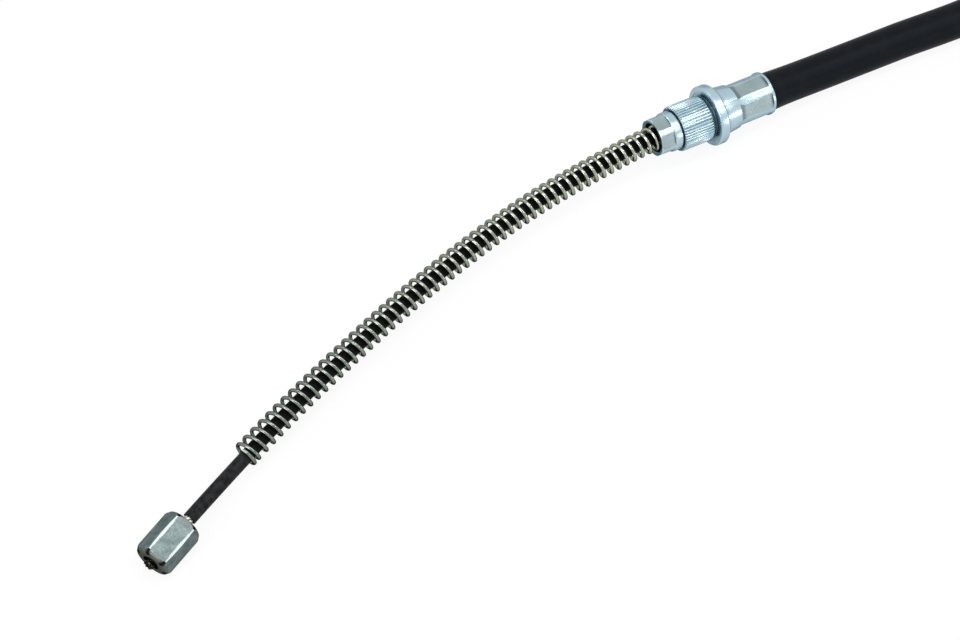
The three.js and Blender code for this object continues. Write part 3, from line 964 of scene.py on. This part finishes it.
def ring_finish():
    """Dark oiled spring steel, blotched and worn a little brighter."""
    finish = Finish("ring_steel", 0.4, 1.0)
    worn = finish.noise(800, 4)
    finish.set("Base Color", finish.blend(worn, (0.1, 0.1, 0.105, 1), (0.26, 0.26, 0.27, 1)))
    finish.set("Roughness", 0.32 + worn * 0.2)
    finish.bump(finish.noise(3500, 3), 0.00003)
    return finish.material


def ring_mesh():
    edge = 0.12 * mm
    front, rear = ring_front, ring_front + ring_thickness
    section = [
        (front, ring_inner + edge), (front, ring_outer - edge), (front + edge, ring_outer),
        (rear - edge, ring_outer), (rear, ring_outer - edge), (rear, ring_inner + edge),
        (rear - edge, ring_inner), (front + edge, ring_inner),
    ]
    mesh_data = bmesh.new()
    rows = []
    for angle in np.linspace(ring_opening / 2, 2 * math.pi - ring_opening / 2, 96):
        rows.append([
            mesh_data.verts.new((along, radius * math.cos(angle), radius * math.sin(angle)))
            for along, radius in section
        ])
    for row, after_row in zip(rows, rows[1:]):
        for side in range(len(section)):
            after = (side + 1) % len(section)
            mesh_data.faces.new((row[side], row[after], after_row[after], after_row[side]))
    mesh_data.faces.new(rows[0])
    mesh_data.faces.new(list(reversed(rows[-1])))
    bmesh.ops.recalc_face_normals(mesh_data, faces=mesh_data.faces)
    mesh = bpy.data.meshes.new("ring")
    mesh_data.to_mesh(mesh)
    mesh_data.free()
    return mesh


mesh = ring_mesh()
mesh.transform(route.place(lever_fitting_at))
snap_ring = new_piece("snap_ring", mesh, ring_finish())
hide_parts("lever_snap_ring")

# Casing and liner: flat steel wire wound close under the jacket, and the smooth pale tube
# that the coated wire slides in. Both are covered, but for the liner's ends.


def casing_finish():
    finish = Finish("casing_steel", 0.4, 1.0)
    turns = finish.noise(1500, 2)
    finish.set("Base Color", finish.blend(turns, (0.3, 0.3, 0.3, 1), (0.5, 0.5, 0.5, 1)))
    finish.bump(turns, 0.00004)
    return finish.material


def liner_finish():
    finish = Finish("pale_liner", 0.45)
    cloud = finish.noise(400, 3)
    finish.set("Base Color", finish.blend(cloud, (0.62, 0.62, 0.57, 1), (0.78, 0.78, 0.74, 1)))
    finish.bump(finish.noise(3000, 2), 0.00002)
    return finish.material


for name, finish in (("conduit_winding", casing_finish()), ("conduit_liner", liner_finish())):
    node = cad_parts[name]
    node.data.materials.clear()
    node.data.materials.append(finish)

# Studio: a pale floor and a white room, with a strip lamp above, a soft lamp on the left and
# three small lamps that light the lands between the flats.


def floor_finish():
    """A white floor that keeps a soft shadow of the cable."""
    material = bpy.data.materials.new("white_floor")
    material.use_nodes = True
    nodes, link = material.node_tree.nodes, material.node_tree.links.new
    nodes.clear()
    shade = nodes.new("ShaderNodeBsdfDiffuse")
    shade.inputs["Color"].default_value = (0.9, 0.9, 0.9, 1)
    light = nodes.new("ShaderNodeEmission")
    light.inputs["Color"].default_value = (1, 1, 1, 1)
    path = nodes.new("ShaderNodeLightPath")
    glossy = nodes.new("ShaderNodeMath")
    glossy.operation = "MULTIPLY"
    glossy.inputs[1].default_value = 0.35
    link(path.outputs["Is Glossy Ray"], glossy.inputs[0])
    share = nodes.new("ShaderNodeMath")
    share.operation = "MULTIPLY_ADD"
    share.inputs[1].default_value = 0.9
    link(path.outputs["Is Camera Ray"], share.inputs[0])
    link(glossy.outputs[0], share.inputs[2])
    mix = nodes.new("ShaderNodeMixShader")
    link(share.outputs[0], mix.inputs[0])
    link(shade.outputs[0], mix.inputs[1])
    link(light.outputs[0], mix.inputs[2])
    link(mix.outputs[0], nodes.new("ShaderNodeOutputMaterial").inputs[0])
    return material


floor_mesh = bpy.data.meshes.new("floor")
floor_mesh.from_pydata([(-3, -3, 0), (3, -3, 0), (3, 3, 0), (-3, 3, 0)], [], [(0, 1, 2, 3)])
floor_mesh.materials.append(floor_finish())
floor = bpy.data.objects.new("floor", floor_mesh)
bpy.context.scene.collection.objects.link(floor)

world = bpy.data.worlds.new("white_room")
world.use_nodes = True
bpy.context.scene.world = world
sky_nodes, sky_link = world.node_tree.nodes, world.node_tree.links.new
sky_path = sky_nodes.new("ShaderNodeLightPath")
shown = sky_nodes.new("ShaderNodeMath")
shown.operation = "MAXIMUM"
sky_link(sky_path.outputs["Is Camera Ray"], shown.inputs[0])
sky_link(sky_path.outputs["Is Glossy Ray"], shown.inputs[1])
level = sky_nodes.new("ShaderNodeMapRange")
level.inputs["To Min"].default_value = 0.55
level.inputs["To Max"].default_value = 1.0
sky_link(shown.outputs[0], level.inputs["Value"])
sky_link(level.outputs[0], sky_nodes["Background"].inputs["Strength"])
sky_nodes["Background"].inputs["Color"].default_value = (1, 1, 1, 1)


def lamp(name, spot, aim, size, power):
    data = bpy.data.lights.new(name, "AREA")
    data.shape = "RECTANGLE"
    data.size, data.size_y = size
    data.energy = power
    made = bpy.data.objects.new(name, data)
    made.location = spot
    made.rotation_euler = (Vector(aim) - Vector(spot)).to_track_quat("-Z", "Y").to_euler()
    bpy.context.scene.collection.objects.link(made)


lamp("strip lamp above", (0.08, -0.1, 0.9), (-0.05, -0.08, 0), (0.14, 1.1), 4)
lamp("left lamp", (-0.8, -0.3, 0.5), (-0.05, -0.05, 0), (0.5, 0.3), 3)
for name, distance, way, side, power in (
    ("lamp across the cup", fitting_at, (0.29, -0.36, 0.54), 0.1, 0.5),
    ("lamp behind the stop", stop_length / 2, (0.12, 0.46, 0.51), 0.12, 0.3),
    ("lamp beside the stop", stop_length / 2, (0.54, -0.45, 0.07), 0.12, 0.3),
):
    aim = route.at(distance)
    lamp(name, aim + Vector(way), aim, (side, side), power)
